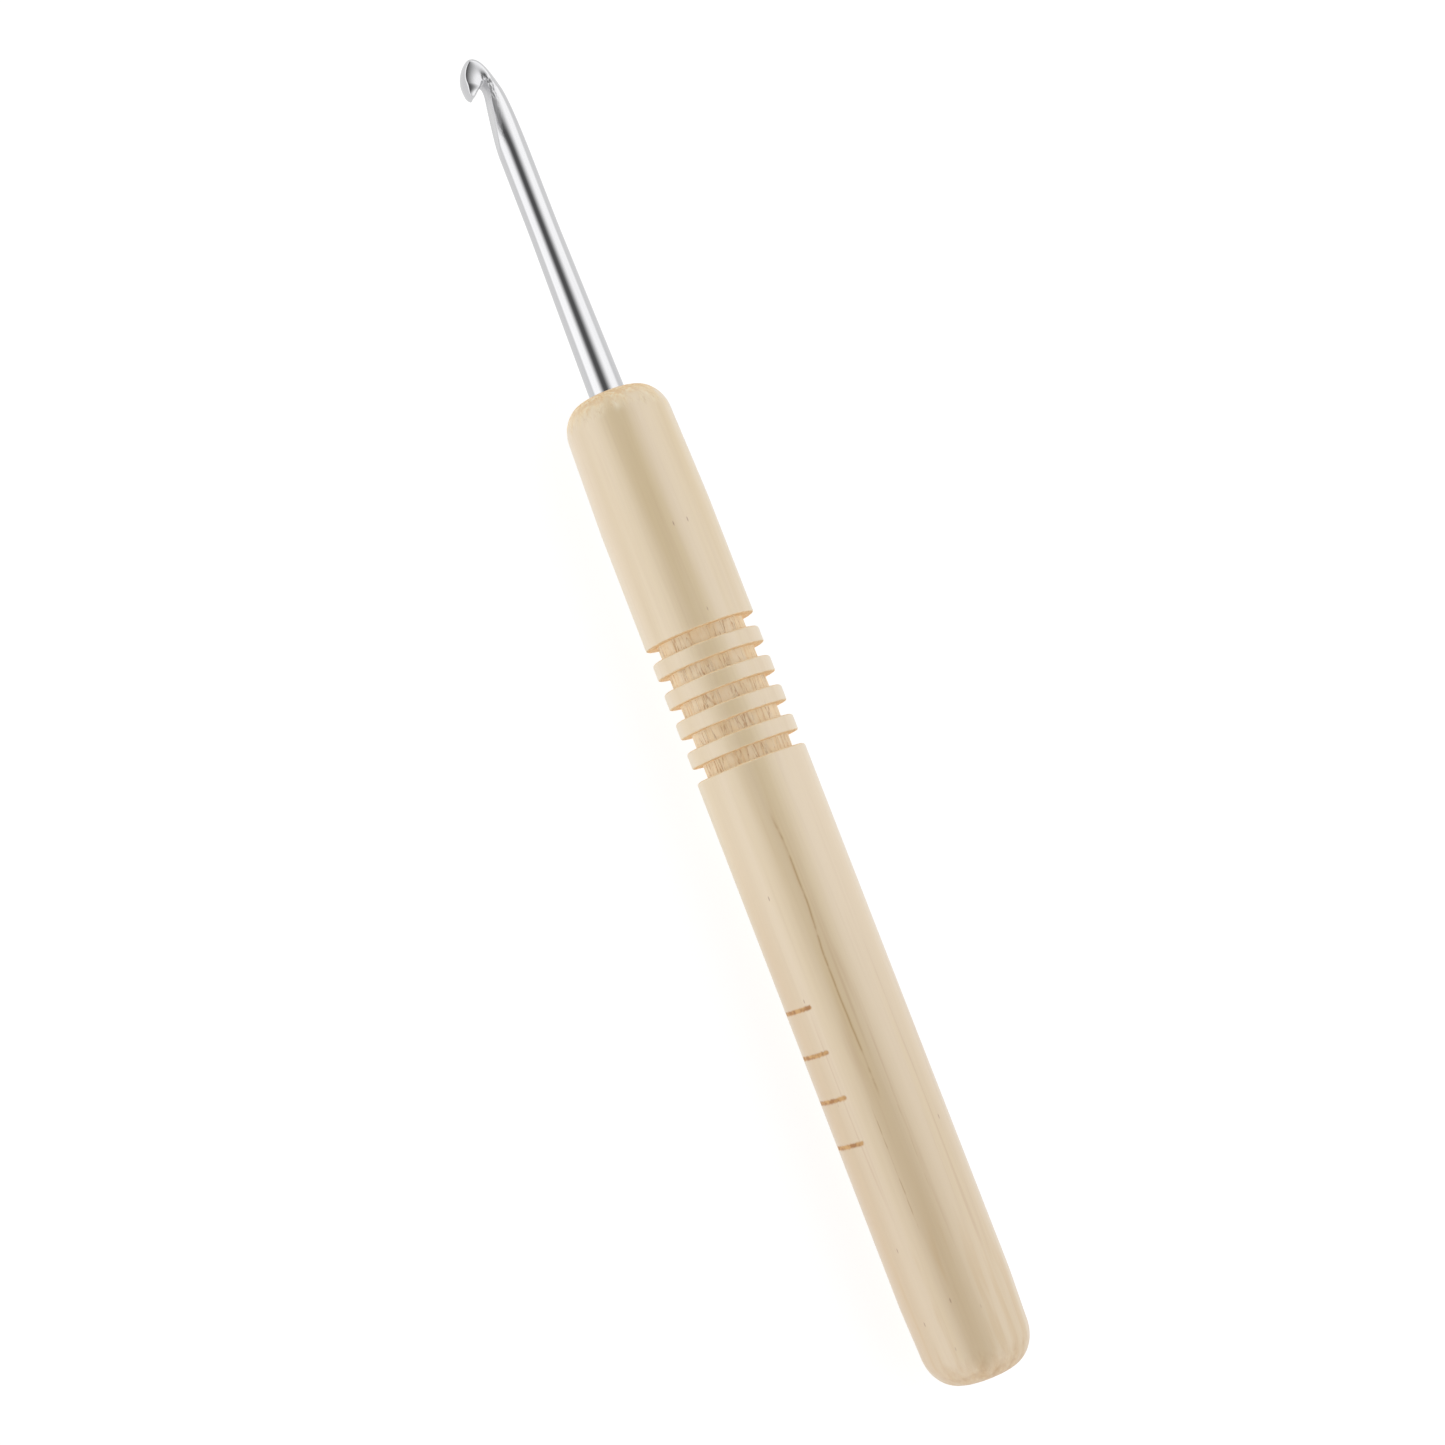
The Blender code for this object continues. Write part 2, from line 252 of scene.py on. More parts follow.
def mesh_of_rings(name, rings, attributes):
    """A closed mesh through rings of points, an array (ring, point, 3), capped at both ends.

    Each attribute is an array (ring, point) of one number for each point.
    """
    count, around, _ = rings.shape
    corners = rings.reshape(-1, 3)
    caps = np.array([rings[0].mean(axis=0), rings[-1].mean(axis=0)])
    this = np.arange(count * around).reshape(count, around)
    after = np.roll(this, -1, axis=1)
    quads = np.stack([this[:-1], after[:-1], after[1:], this[1:]], axis=-1).reshape(-1, 4)
    first_cap = np.full(around, count * around)
    first = np.stack([first_cap, after[0], this[0]], axis=-1)
    last = np.stack([first_cap + 1, this[-1], after[-1]], axis=-1)
    mesh = bpy.data.meshes.new(name)
    faces = quads.tolist() + first.tolist() + last.tolist()
    mesh.from_pydata(np.concatenate([corners, caps]).tolist(), [], faces)
    for label, values in attributes.items():
        ends = [values[0].mean(), values[-1].mean()]
        data = mesh.attributes.new(label, "FLOAT", "POINT").data
        data.foreach_set("value", np.concatenate([values.ravel(), ends]).astype(np.float32))
    mesh.shade_smooth()
    mesh.update()
    return mesh


def add_piece(name, mesh, material, node):
    """A fine piece that stands for a node of the model."""
    mesh.materials.append(material)
    piece = bpy.data.objects.new(name, mesh)
    bpy.context.scene.collection.objects.link(piece)
    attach(piece, "root")
    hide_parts(node)


# The turned handle ------------------------------------------------------------------------
# An outline's points are (distance from the front face, radius, rawness), and bare wood has
# rawness 1.

def rounded_end(face_radius, end_radius, length, fullness, steps):
    """Points (depth from the face, radius) of a rounded end, from its face outwards."""
    points = []
    for step in range(steps + 1):
        angle = pi / 2 * (1 - step / steps)
        out = abs(cos(angle)) ** (2 / fullness)
        along = abs(sin(angle)) ** (2 / fullness)
        points.append((length * (1 - along), mix(face_radius, end_radius, out)))
    return points


def handle_corners():
    """The handle's outline as (distance, radius, corner rounding, rawness up to there)."""
    corners = [
        (BORE_DEPTH, BORE_RADIUS, 0, 1),
        (MOUTH_DEPTH, BORE_RADIUS, 0, 1),
        (MOUTH_DEPTH / 2, MOUTH_RADIUS, 0, 1),
        (0, MOUTH_RADIUS + MOUTH_DEPTH / 4, 0, 1),
    ]
    shoulder = rounded_end(FRONT_FACE_RADIUS, SHOULDER_RADIUS, SHOULDER_LENGTH,
                           SHOULDER_FULLNESS, CURVE_STEPS)
    corners += [(depth, radius, 0, 0) for depth, radius in shoulder]
    corners.append((NOSE_LENGTH, HANDLE_RADIUS, 0, 0))
    for groove in range(RING_COUNT + 1):
        start = FRONT_GRIP_LENGTH + groove * (RING_WIDTH + GROOVE_WIDTH)
        end = start + GROOVE_WIDTH
        before = HANDLE_RADIUS if groove == 0 else RING_RADIUS
        beyond = HANDLE_RADIUS if groove == RING_COUNT else RING_RADIUS
        corners += [
            (start, before, LOWER_EDGE_ROUNDING, 0),
            (start, GROOVE_RADIUS, GROOVE_FILLET, 1),
            (end, GROOVE_RADIUS, GROOVE_FILLET, 1),
            (end, beyond, UPPER_EDGE_ROUNDING, 1),
        ]
    corners.append((HANDLE_LENGTH - BUTT_TAPER_LENGTH, HANDLE_RADIUS, 0, 0))
    butt = rounded_end(BUTT_FACE_RADIUS, BUTT_RADIUS, BUTT_ROUNDING_LENGTH,
                       BUTT_FULLNESS, CURVE_STEPS)
    corners += [(HANDLE_LENGTH - depth, radius, 0, 0) for depth, radius in reversed(butt)]
    return corners


def rounded_corners(corners):
    """Points (distance, radius, rawness), with an arc in place of each rounded corner."""
    points = []
    for index, (along, radius, rounding, raw) in enumerate(corners):
        if rounding == 0:
            points.append((along, radius, raw))
            continue
        corner = Vector((along, radius))
        entry = (Vector(corners[index - 1][:2]) - corner).normalized() * rounding
        leave = (Vector(corners[index + 1][:2]) - corner).normalized() * rounding
        raw_beyond = corners[index + 1][3]
        for step in range(CORNER_STEPS + 1):
            angle = pi / 2 * step / CORNER_STEPS
            point = corner + entry * (1 - sin(angle)) + leave * (1 - cos(angle))
            points.append((point.x, point.y, mix(raw, raw_beyond, step / CORNER_STEPS)))
    return points


def step_at(along):
    """How far apart the outline's points are at a distance from the front face."""
    from_mark = along + FRONT_X - MARK_START_X
    if -MARK_MARGIN < from_mark < (BAR_COUNT - 1) * BAR_SPACING + MARK_MARGIN:
        return MARK_STEP
    band_end = FRONT_GRIP_LENGTH + RING_COUNT * RING_WIDTH + (RING_COUNT + 1) * GROOVE_WIDTH
    near_band = FRONT_GRIP_LENGTH - FINE_MARGIN < along < band_end + FINE_MARGIN
    return FINE_STEP if near_band else PLAIN_STEP


def filled_in(points):
    """The outline with points added, so that none are far apart."""
    outline = [points[0]]
    for target in points[1:]:
        while True:
            last = outline[-1]
            gap = hypot(target[0] - last[0], target[1] - last[1])
            step = step_at(min(last[0], target[0]) if gap < PLAIN_STEP else last[0])
            if gap <= step * 1.5:
                break
            share = step / gap
            outline.append(tuple(mix(a, b, share) for a, b in zip(last, target)))
        outline.append(target)
    return np.array(outline)


def handle_angles():
    """Angles round the axis, from the top towards +Y, closest together at the mark."""
    half_window = (BAR_HEIGHT / 2 + MARK_MARGIN) / HANDLE_RADIUS
    inside = np.arange(MARK_MIDDLE - half_window, MARK_MIDDLE + half_window,
                       MARK_STEP / HANDLE_RADIUS)
    rest = np.linspace(inside[-1], inside[0] + 2 * pi, PLAIN_FACETS)[1:-1]
    return np.concatenate([inside, rest])


def mark_distance(x, y):
    """How far points are from the nearest bar's middle line.

    x runs along the hook and y round it, both from the middle of the first bar.
    """
    nearest = np.clip(np.round(x / BAR_SPACING), 0, BAR_COUNT - 1)
    past_end = np.maximum(np.abs(y) - BAR_HEIGHT / 2, 0)
    return np.hypot(x - nearest * BAR_SPACING, past_end)


def noise_at(x, y, z):
    """Smooth noise from -1 to 1 for arrays of places."""
    places = np.stack(np.broadcast_arrays(x, y, z), axis=-1)
    flat = [noise.noise(Vector(place)) for place in places.reshape(-1, 3)]
    return np.array(flat).reshape(places.shape[:-1])


def grain_noise(along, angle, scales):
    """Smooth noise on the handle's surface."""
    per_metre, round_axis = scales
    return noise_at(along * per_metre, np.cos(angle) * round_axis, np.sin(angle) * round_axis)


def burn_at(along, angle):
    """How much each point is burned by the mark, from 0 to 1. The bars' edges are ragged."""
    up = (angle - MARK_MIDDLE) * HANDLE_RADIUS
    ragged = RAGGEDNESS * noise_at(along * RAGGED_SCALE, up * RAGGED_SCALE, 0)
    distance = mark_distance(along + FRONT_X - MARK_START_X, up) + ragged
    return np.clip((BAR_HALF_WIDTH - distance) / BURN_BLUR + 0.5, 0, 1)


def make_handle():
    outline = filled_in(rounded_corners(handle_corners()))
    angles = handle_angles()
    grid = np.ones((len(outline), len(angles)))
    angle = angles * grid
    along = outline[:, :1] * grid
    run = np.gradient(outline[:, 0])
    rise = np.gradient(outline[:, 1])
    end_grain = (np.abs(rise) / np.hypot(run, rise))[:, None] * grid
    carved = (np.arange(len(outline)) >= SMOOTH_POINTS)[:, None]

    # Fibres show at both ends of the handle, where the varnish has soaked in.
    patches = grain_noise(along, angle, PATCHES)
    shoulder = np.clip(1.45 - along / BARE_SHOULDER + 0.7 * patches, 0, 1) * carved
    butt = np.clip(1.15 - (HANDLE_LENGTH - along) / BARE_BUTT + 0.4 * patches, 0, 1)
    raw = np.maximum(outline[:, 2:3], np.maximum(shoulder, 0.4 * butt))

    # Torn fibres run along the hook, and the mark is burned in a little. On an end, the
    # surface moves along the hook.
    fibres = grain_noise(along, angle, FIBRES) + 0.5 * grain_noise(along, angle, COARSE_FIBRES)
    burn = burn_at(along, angle)
    relief = (FIBRE_DEPTH * raw * fibres - BURN_DEPTH * burn) * carved
    radius = outline[:, 1:2] + relief * (1 - 0.7 * end_grain)
    moved = along + 0.5 * relief * end_grain
    rings = np.stack([FRONT_X + moved, radius * np.sin(angle),
                      AXIS_Z + radius * np.cos(angle)], axis=-1)

    # The outline runs from the bore to the butt, so it is turned round to face outwards.
    attributes = {"raw": raw, "butt": butt, "burn": burn, "end_grain": end_grain}
    attributes = {name: values[::-1] for name, values in attributes.items()}
    mesh = mesh_of_rings("turned_handle", rings[::-1], attributes)
    add_piece("turned_handle", mesh, wood_material(), "handle")


# The metal hook ---------------------------------------------------------------------------
# Outline points are (distance from the tip, offset towards the lip). Each section lies
# across the metal, between a point on the throat's side and a point on the back.

def pulled(point, along, towards_lip):
    """A curve's control point: a point of the outline, moved."""
    return (point[0] + along, point[1] + towards_lip)


def neck_and_throat():
    """Four joined cubic curves: the neck's floor, two round the throat, and under the lip."""
    floor_start = (NECK_LENGTH, WORKING_DIAMETER / 2 + EDGE_ROUNDING)
    floor_end = (TIP_TO_THROAT + 0.0010, NECK_FLOOR_OFFSET)
    throat = (TIP_TO_THROAT, THROAT_OFFSET)
    under_lip = (TIP_TO_THROAT + 0.0004, THROAT_OFFSET + 0.00054)
    lip_end = (TIP_TO_LIP_END, lip_end_offset() - LIP_EDGE / 2)
    third_of_floor = (floor_start[0] - floor_end[0]) / 3
    third_of_drop = (floor_start[1] - floor_end[1]) / 3
    return [
        floor_start,
        pulled(floor_start, -third_of_floor, -third_of_drop),
        pulled(floor_end, third_of_floor, third_of_drop),
        floor_end,
        pulled(floor_end, -0.0004, -0.00006),
        pulled(throat, 0, -0.00016),
        throat,
        pulled(throat, 0, 0.00019),
        pulled(under_lip, -0.0002, -0.0002),
        under_lip,
        pulled(under_lip, 0.0003, 0.0003),
        pulled(lip_end, -0.0003, -0.0003),
        lip_end,
    ]


def back_and_lip():
    """Four joined cubic curves: the back, up to the tip, down the lip's front, to its end."""
    back_start = (NECK_LENGTH, -WORKING_DIAMETER / 2)
    head_start = (TIP_TO_LIP_END, -HEAD_BACK_OFFSET)
    tip = (0, TIP_OFFSET)
    lip_front = (TIP_TO_LIP_END - 0.0016, LIP_REACH)
    lip_end = (TIP_TO_LIP_END, lip_end_offset() + LIP_EDGE / 2)
    return [
        back_start,
        pulled(back_start, -0.0029, 0),
        pulled(head_start, 0.0014, -0.00028),
        head_start,
        pulled(head_start, -0.0015, 0.00036),
        pulled(tip, 0, -0.00135),
        tip,
        pulled(tip, 0, 0.00055),
        pulled(lip_front, -0.0013, 0),
        lip_front,
        pulled(lip_front, 0.0007, 0),
        pulled(lip_end, -0.00015, 0.00033),
        lip_end,
    ]


def lip_end_offset():
    return LIP_REACH - 0.00056


def points_along(chain, steps):
    """Points along joined cubic curves, the chain's first point left out."""
    points = []
    for start in range(0, len(chain) - 1, 3):
        corners = [Vector((*point, 0)) for point in chain[start:start + 4]]
        points += interpolate_bezier(*corners, steps[start // 3] + 1)[1:]
    return points


def smooth_min(a, b):
    """The lower of two lengths, rounded where they come close to each other."""
    overlap = max(EDGE_ROUNDING - abs(a - b), 0) / EDGE_ROUNDING
    return min(a, b) - overlap * overlap * EDGE_ROUNDING / 4


def circle_reach(centre, radius, along, across):
    """How far a circle reaches from the origin, when its centre lies on the first axis."""
    return centre * along + sqrt(max(radius * radius - (centre * across) ** 2, 0))


def section(floor, back, half_thickness, bar_radius, back_radius, crown_radius):
    """Points (u, q, cut, streak) round a bar pressed on two sides and cut flat on a third.

    u runs to the back and q across the thickness. cut is 1 on the flat cut, and streak is 1
    on the pressed sides where they meet the cut.
    """
    points = []
    for facet in range(METAL_FACETS):
        angle = 2 * pi * facet / METAL_FACETS
        reach_along_u = back if cos(angle) > 0 else floor
        direction = Vector((reach_along_u * cos(angle), half_thickness * sin(angle)))
        u, q = direction.normalized()
        cut = 0
        pressed = circle_reach(half_thickness - crown_radius, crown_radius, abs(q), u)
        if u < 0:
            outside = smooth_min(bar_radius, floor / -u)
            cut = smooth_step(-EDGE_ROUNDING, EDGE_ROUNDING, min(bar_radius, pressed) - floor / -u)
        else:
            outside = circle_reach(back - back_radius, back_radius, u, q)
        reach = smooth_min(outside, pressed)
        from_cut = (reach * u + floor) / STREAK_WIDTH
        streak = (1 - cut) * smooth_step(1, 0.3, from_cut)
        points.append((reach * u, reach * q, cut, streak))
    return points


def pressed_rings():
    """The neck and the head, from the round shank to the end of the lip."""
    steps = [count * FINER for count in (NECK_SECTIONS, HEAD_SECTIONS, HEAD_SECTIONS,
                                         HEAD_SECTIONS // 2)]
    inner_points = points_along(neck_and_throat(), steps)
    outer_points = points_along(back_and_lip(), steps)
    total = len(inner_points) / FINER
    rings = []
    weights = []
    for index, (inner, outer) in enumerate(zip(inner_points, outer_points)):
        place = (index + 1) / FINER
        neck = smooth_step(0, NECK_SECTIONS / 2, place)
        head = smooth_step(NECK_SECTIONS / 2, NECK_SECTIONS + HEAD_SECTIONS / 2, place - 1)
        lip = smooth_step(NECK_SECTIONS + HEAD_SECTIONS / 2, total, place - 1)
        end = smooth_step(total - HEAD_SECTIONS / 2, total, place)
        across = outer - inner
        origin_share = mix(inner.y / across.length, HEAD_MIDDLE, head)
        origin = inner + across * origin_share
        thickness = mix(WORKING_DIAMETER + 2 * EDGE_ROUNDING, NECK_THICKNESS, neck)
        thickness = mix(thickness, HEAD_THICKNESS, head)
        thickness = mix(thickness, LIP_END_THICKNESS, end)
        outline = section(
            floor=across.length * origin_share,
            back=across.length * (1 - origin_share),
            half_thickness=thickness / 2,
            bar_radius=mix(WORKING_DIAMETER / 2, WORKING_DIAMETER, head),
            back_radius=mix(WORKING_DIAMETER / 2, LIP_FRONT_RADIUS, lip),
            crown_radius=mix(NECK_CROWN_RADIUS, HEAD_CROWN_RADIUS, head),
        )
        rough = smooth_step(*STREAK_STRETCH, inner.x) * smooth_step(*STREAK_SECTIONS, place)
        u_axis = across.normalized()
        ring = []
        weight = []
        for u, q, cut, streak in outline:
            point = origin + u_axis * u
            place_on_metal = Vector((TIP_X + point.x, -point.y, AXIS_Z + q))
            ring.append(place_on_metal)
            weight.append((cut, streak * rough))
        rings.append(ring)
        weights.append(weight)
    return rings, weights


def lip_cap_rings(last, before):
    """Closes the lip with a few shrinking rings, so that its end is rounded."""
    centre = sum(last, Vector()) / len(last)
    outwards = (centre - sum(before, Vector()) / len(before)).normalized()
    rings = []
    for step in range(1, CAP_STEPS):
        angle = pi / 2 * step / CAP_STEPS
        bulge = outwards * LIP_EDGE / 2 * sin(angle)
        rings.append([centre + (point - centre) * cos(angle) + bulge for point in last])
    return rings


def round_ring(distance, radius):
    """A ring of points round the metal, at a distance from the tip."""
    angles = [2 * pi * facet / METAL_FACETS for facet in range(METAL_FACETS)]
    return [
        Vector((TIP_X + distance, radius * cos(angle), AXIS_Z + radius * sin(angle)))
        for angle in angles
    ]


def shank_radius(distance):
    """The straight stretch eases into the taper, which ends at the handle."""
    past = distance - WORKING_END
    slope = (SHANK_DIAMETER - WORKING_DIAMETER) / 2 / (EXPOSED_LENGTH - WORKING_END)
    eased = TAPER_EASE * np.logaddexp(0, past / TAPER_EASE * 4) / 4
    return min(WORKING_DIAMETER / 2 + slope * eased, SHANK_DIAMETER / 2)


def shank_rings():
    """The round stretch, from the end of the tang to the neck."""
    tang_end = EXPOSED_LENGTH + TANG_LENGTH
    rings = [
        round_ring(tang_end, SHANK_DIAMETER / 2 - TANG_CHAMFER),
        round_ring(tang_end - TANG_CHAMFER, SHANK_DIAMETER / 2),
        round_ring(EXPOSED_LENGTH + 2 * MOUTH_DEPTH, SHANK_DIAMETER / 2),
    ]
    for step in range(SHANK_STEPS + 1):
        distance = mix(EXPOSED_LENGTH, NECK_LENGTH, step / SHANK_STEPS)
        rings.append(round_ring(distance, shank_radius(distance)))
    return rings


def marks_at(rings, scales):
    """Smooth noise on the metal's surface."""
    along, across = scales
    x, y, z = (rings[..., axis] for axis in range(3))
    return noise_at(x * along, y * across, z * across)


def make_hook():
    pressed, weights = pressed_rings()
    shank = shank_rings()
    cap = lip_cap_rings(pressed[-1], pressed[-2])
    rings = np.array([[tuple(point) for point in ring] for ring in shank + pressed + cap])
    plain_before = np.zeros((len(shank), METAL_FACETS, 2))
    plain_after = np.zeros((len(cap), METAL_FACETS, 2))
    weights = np.concatenate([plain_before, np.array(weights), plain_after])
    streak = weights[..., 1]

    # Press and file marks in the throat and along the neck's edge, sunk mostly across the
    # hook.
    from_tip = rings[..., 0] - TIP_X
    cut = weights[..., 0] * smooth_steps(*CUT_STRETCH, from_tip)
    apex = smooth_steps(*APEX_STRETCH, from_tip)
    depth = CUT_DEPTH * cut + (STREAK_DEPTH + APEX_DEPTH * apex) * streak
    marks = marks_at(rings, COARSE_MARKS) + 0.5 * marks_at(rings, FINE_MARKS)
    inwards = rings.mean(axis=1, keepdims=True) - rings
    inwards[..., 0] *= 0.3
    inwards /= np.linalg.norm(inwards, axis=-1, keepdims=True)
    rings = rings + inwards * (depth * marks)[..., None]

    # The rings run towards -X, so their points are turned round to face the metal outwards.
    attributes = {"cut": np.clip(0.7 * cut + streak, 0, 1)[:, ::-1]}
    mesh = mesh_of_rings("pressed_hook", rings[:, ::-1], attributes)
    add_piece("pressed_hook", mesh, metal_material(), "hook_shank")


# Materials --------------------------------------------------------------------------------

class Nodes:
    """A node tree, made with short calls. Values are numbers, colours or sockets."""

    def __init__(self, tree):
        self.tree = tree

    def add(self, kind, inputs=None, **settings):
        made = self.tree.nodes.new(kind)
        for name, value in settings.items():
            setattr(made, name, value)
        for name, value in (inputs or {}).items():
            self.put(made.inputs[name], value)
        return made

    def put(self, socket, value):
        if isinstance(value, bpy.types.NodeSocket):
            self.tree.links.new(value, socket)
        else:
            socket.default_value = value

    def calc(self, operation, first, second=0.0):
        made = self.add("ShaderNodeMath", {0: first, 1: second}, operation=operation)
        return made.outputs[0]

    def times(self, *factors):
        product = factors[0]
        for factor in factors[1:]:
            product = self.calc("MULTIPLY", product, factor)
        return product

    def between(self, value, low, high, to_low=0.0, to_high=1.0):
        """Maps a value smoothly from one range to another, and keeps it inside."""
        made = self.add("ShaderNodeMapRange", {
            "Value": value, "From Min": low, "From Max": high, "To Min": to_low,
            "To Max": to_high}, interpolation_type="SMOOTHSTEP")
        return made.outputs["Result"]

    def blend(self, share, first, second):
        """Mixes two colours. A Mix node has its colours in sockets 6 and 7."""
        made = self.add("ShaderNodeMix", {0: share, 6: first, 7: second}, data_type="RGBA")
        return made.outputs[2]

    def bump(self, height, distance, strength=1.0, under=None):
        inputs = {"Height": height, "Distance": distance, "Strength": strength}
        if under is not None:
            inputs["Normal"] = under
        return self.add("ShaderNodeBump", inputs).outputs["Normal"]


class Shader(Nodes):
    """A material's nodes."""

    def __init__(self, name):
        self.material = bpy.data.materials.new(name)
        self.material.use_nodes = True
        super().__init__(self.material.node_tree)
        self.surface = self.tree.nodes["Principled BSDF"]
        self.place = self.add("ShaderNodeTexCoord").outputs["Object"]

    def set(self, values):
        for name, value in values.items():
            self.put(self.surface.inputs[name], value)

    def attribute(self, name):
        return self.add("ShaderNodeAttribute", attribute_name=name).outputs["Fac"]

    def stretched(self, along, across):
        """The place in the object, scaled along the hook's axis and across it."""
        mapping = self.add("ShaderNodeMapping", {"Vector": self.place,
                                                 "Scale": (along, across, across)})
        return mapping.outputs[0]

    def noise(self, along, across, detail=3.0, roughness=0.5):
        made = self.add("ShaderNodeTexNoise", {
            "Vector": self.stretched(along, across), "Scale": 1.0, "Detail": detail,
            "Roughness": roughness, "Distortion": 0.0})
        return made.outputs["Fac"]

    def thin_lines(self, along, across, width):
        """Thin wandering lines along the grain, where a noise crosses its middle."""
        off = self.calc("ABSOLUTE", self.calc("SUBTRACT", self.noise(along, across), 0.5))
        return self.between(off, width, 0.0)


def round_the_axis(shader):
    """The place along X, and the angle from the top towards +Y."""
    x, y, z = shader.add("ShaderNodeSeparateXYZ", {0: shader.place}).outputs
    return x, shader.calc("ARCTAN2", y, shader.calc("SUBTRACT", z, AXIS_Z))


def growth_lines(shader):
    """Faint broken lines where the wood's growth rings meet the turned surface."""
    x, _ = round_the_axis(shader)
    lines = shader.thin_lines(7, 330, 0.030)
    broken = shader.between(shader.noise(45, 500), 0.48, 0.66)
    return shader.times(lines, broken, shader.between(x, 0.0, 0.020, 0.3, 1.0))


def grain_line(shader, start, end, middle, half_width):
    """One darker line of grain between two places along X, round a middle angle."""
    x, angle = round_the_axis(shader)
    wander = shader.times(shader.calc("SUBTRACT", shader.noise(320, 0), 0.5), 0.03)
    off = shader.calc("SUBTRACT", shader.calc("SUBTRACT", angle, wander), middle)
    line = shader.between(shader.calc("ABSOLUTE", off), half_width, 0.0)
    stretch = shader.times(shader.between(x, start, start + LINE_FADE),
                           shader.between(x, end, end - LINE_FADE))
    broken = shader.between(shader.noise(600, 300), 0.38, 0.56, 0.30, 1.0)
    return shader.times(line, stretch, broken)


def dark_line_angle(shader):
    """The long dark line rises a little, then drifts towards the lip's side."""
    x, _ = round_the_axis(shader)
    rise = shader.between(x, 0.0125, 0.0165, radians(-17.6), radians(-15.2))
    drift = shader.between(x, 0.0220, 0.0290, 0.0, radians(-3.7))
    back = shader.between(x, 0.0350, 0.0400, 0.0, radians(1.0))
    return shader.calc("ADD", shader.calc("ADD", rise, drift), back)


def with_dark_lines(shader, tone):
    """Adds a long dark line, soft with a sharp middle, and two short ones.

    Angles are round the axis, from the top towards +Y.
    """
    long_line = dark_line_angle(shader)
    for start, end, middle, half_width, share in (
            (0.0118, 0.0450, long_line, 0.036, 0.45),
            (0.0130, 0.0440, long_line, 0.013, 0.55),
            (0.0440, 0.0590, radians(-29.0), 0.016, 0.65),
            (0.0420, 0.0560, radians(-4.6), 0.012, 0.35)):
        line = grain_line(shader, start, end, middle, half_width)
        tone = shader.blend(shader.times(line, share), tone, DARK_LINE)
    return tone


def pores(shader):
    """Short dark dashes along the grain, few on the grips and more towards the butt."""
    cells = shader.add("ShaderNodeTexVoronoi", {"Vector": shader.stretched(620, 2500),
                                                "Scale": 1.0, "Randomness": 1.0})
    chance = shader.add("ShaderNodeSeparateColor", {0: cells.outputs["Color"]}).outputs[0]
    x, _ = round_the_axis(shader)
    few = shader.between(x, 0.056, 0.064, 0.992, 0.955)
    dash = shader.between(cells.outputs["Distance"], 0.24, 0.08)
    return shader.times(dash, shader.calc("GREATER_THAN", chance, few))


def plain_wood(shader):
    """The varnished wood's colour, cream with broad soft bands and a painted shade on the lip's
    side of the rear grip, and its fine grain.
    """
    x, angle = round_the_axis(shader)
    tone = shader.blend(shader.between(shader.noise(9, 170), 0.36, 0.66), CREAM, WARM_CREAM)
    tone = shader.blend(shader.between(x, 0.010, 0.060, 0.0, 0.7), tone, REAR_CREAM)
    # Painted shade: the rear grip turns darker and warmer towards the lip's side.
    lip_side_shade = shader.times(shader.between(x, 0.008, 0.030),
                         shader.between(angle, radians(-52), radians(-88)), 0.55)
    tone = shader.blend(lip_side_shade, tone, LIP_SIDE_SHADE)
    tone = shader.blend(shader.between(shader.noise(14, 300), 0.52, 0.76, 0, 0.5), tone, STRAW)
    golden = shader.times(shader.between(shader.noise(60, 800), 0.50, 0.66),
                          shader.between(x, 0.054, 0.068), 0.45)
    tone = shader.blend(golden, tone, GOLDEN)
    fine = shader.noise(50, 2200, detail=4, roughness=0.6)
    tone = shader.blend(shader.between(fine, 0.42, 0.78, 0, 0.14), tone, FINE_GRAIN)
    tone = shader.blend(shader.times(growth_lines(shader), 0.30), tone, GROWTH_LINE)
    tone = shader.blend(shader.times(pores(shader), 0.7), tone, PORE)
    return with_dark_lines(shader, tone), fine


def growth_arcs(shader):
    """The growth rings where the wood is cut across: arcs round a pith beside the handle."""
    _, y, z = shader.add("ShaderNodeSeparateXYZ", {0: shader.place}).outputs
    from_pith = shader.add("ShaderNodeCombineXYZ", {
        1: shader.calc("SUBTRACT", y, PITH_Y), 2: shader.calc("SUBTRACT", z, PITH_Z)}).outputs[0]
    measure = shader.add("ShaderNodeVectorMath", {0: from_pith}, operation="LENGTH")
    swing = shader.times(shader.noise(300, 260), GROWTH_SWING)
    distance = shader.calc("ADD", measure.outputs["Value"], swing)
    growth = shader.calc("FRACT", shader.calc("DIVIDE", distance, GROWTH_STEP))
    return shader.times(shader.between(growth, 0.35, 0.88, 0, 0.55),
                        shader.between(growth, 1.0, 0.9))


